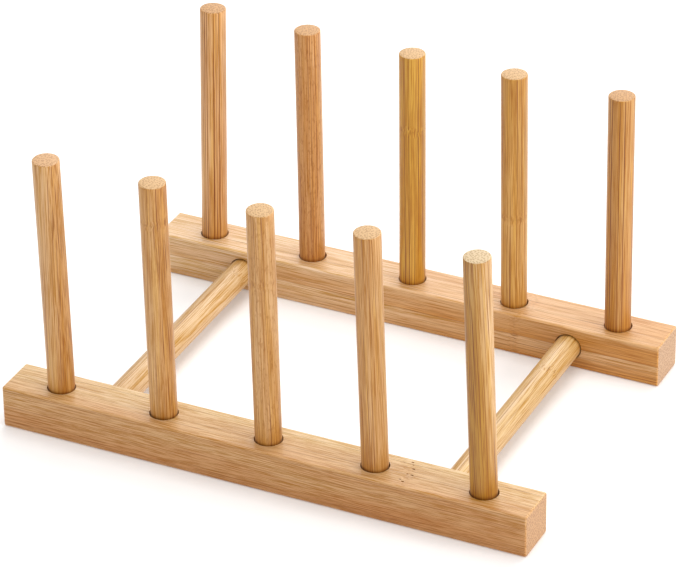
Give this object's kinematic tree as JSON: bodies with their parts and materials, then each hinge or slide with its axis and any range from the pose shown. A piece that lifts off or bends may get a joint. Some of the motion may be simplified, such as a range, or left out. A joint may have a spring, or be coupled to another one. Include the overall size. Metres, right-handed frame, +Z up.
{
  "type": "dish drying rack",
  "caption": "Small bamboo dish drying rack: square rails joined by cross dowels, with a row of upright dowel posts on each rail to hold plates on edge.",
  "frame": {"origin": "on the surface that the rack stands on, in the middle of the rack", "axes": "+X along the rails towards post 5, +Y from the front rail to the rear rail, +Z up"},
  "size_m": [0.25, 0.17, 0.1351],
  "materials": {
    "rail_bamboo": "sanded laminated bamboo, thin satin oil",
    "dowel_bamboo": "sanded bamboo dowel, thin satin oil"
  },
  "bodies": {
    "root": {"front_rail": "rail_bamboo", "rear_rail": "rail_bamboo", "left_cross_dowel": "dowel_bamboo", "right_cross_dowel": "dowel_bamboo", "front_post_1": "dowel_bamboo", "front_post_2": "dowel_bamboo", "front_post_3": "dowel_bamboo", "front_post_4": "dowel_bamboo", "front_post_5": "dowel_bamboo", "rear_post_1": "dowel_bamboo", "rear_post_2": "dowel_bamboo", "rear_post_3": "dowel_bamboo", "rear_post_4": "dowel_bamboo", "rear_post_5": "dowel_bamboo"}
  },
  "joints": []
}
